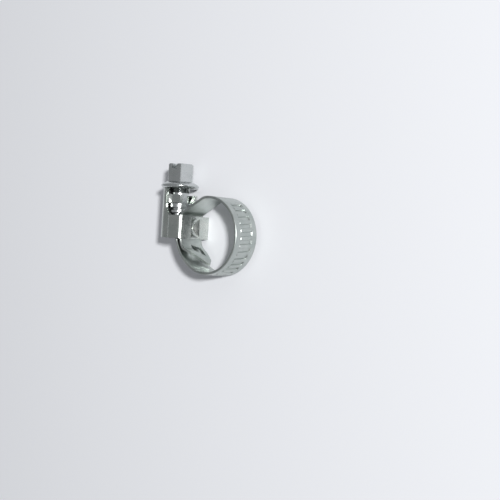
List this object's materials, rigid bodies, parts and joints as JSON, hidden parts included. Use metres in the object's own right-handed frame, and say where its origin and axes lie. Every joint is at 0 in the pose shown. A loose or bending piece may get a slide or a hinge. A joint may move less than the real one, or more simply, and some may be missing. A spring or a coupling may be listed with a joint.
{
  "type": "worm drive hose clamp",
  "caption": "Worm drive hose clamp: toothed steel band led through a folded housing and drawn tight by a slotted hexagon worm screw.",
  "frame": {"origin": "centre of the hose ring at the middle of the band's width", "axes": "+Z along the ring's axis, +Y along the worm screw towards its head, +X from the housing across the ring"},
  "size_m": [0.0318, 0.0315, 0.012],
  "materials": {
    "band_steel": "satin zinc plated strip",
    "housing_steel": "bright zinc plated sheet",
    "screw_steel": "bright zinc plated, turned and cold headed"
  },
  "bodies": {
    "clamp": {"housing": "housing_steel", "band": "band_steel"},
    "screw": {"worm_screw": "screw_steel"}
  },
  "joints": [
    {"name": "screw_turn", "type": "hinge", "parent": "clamp", "child": "screw", "pos_m": [-0.01515, 0, 0], "axis": [0, 1, 0], "continuous": true, "deforming": ["band"]}
  ]
}
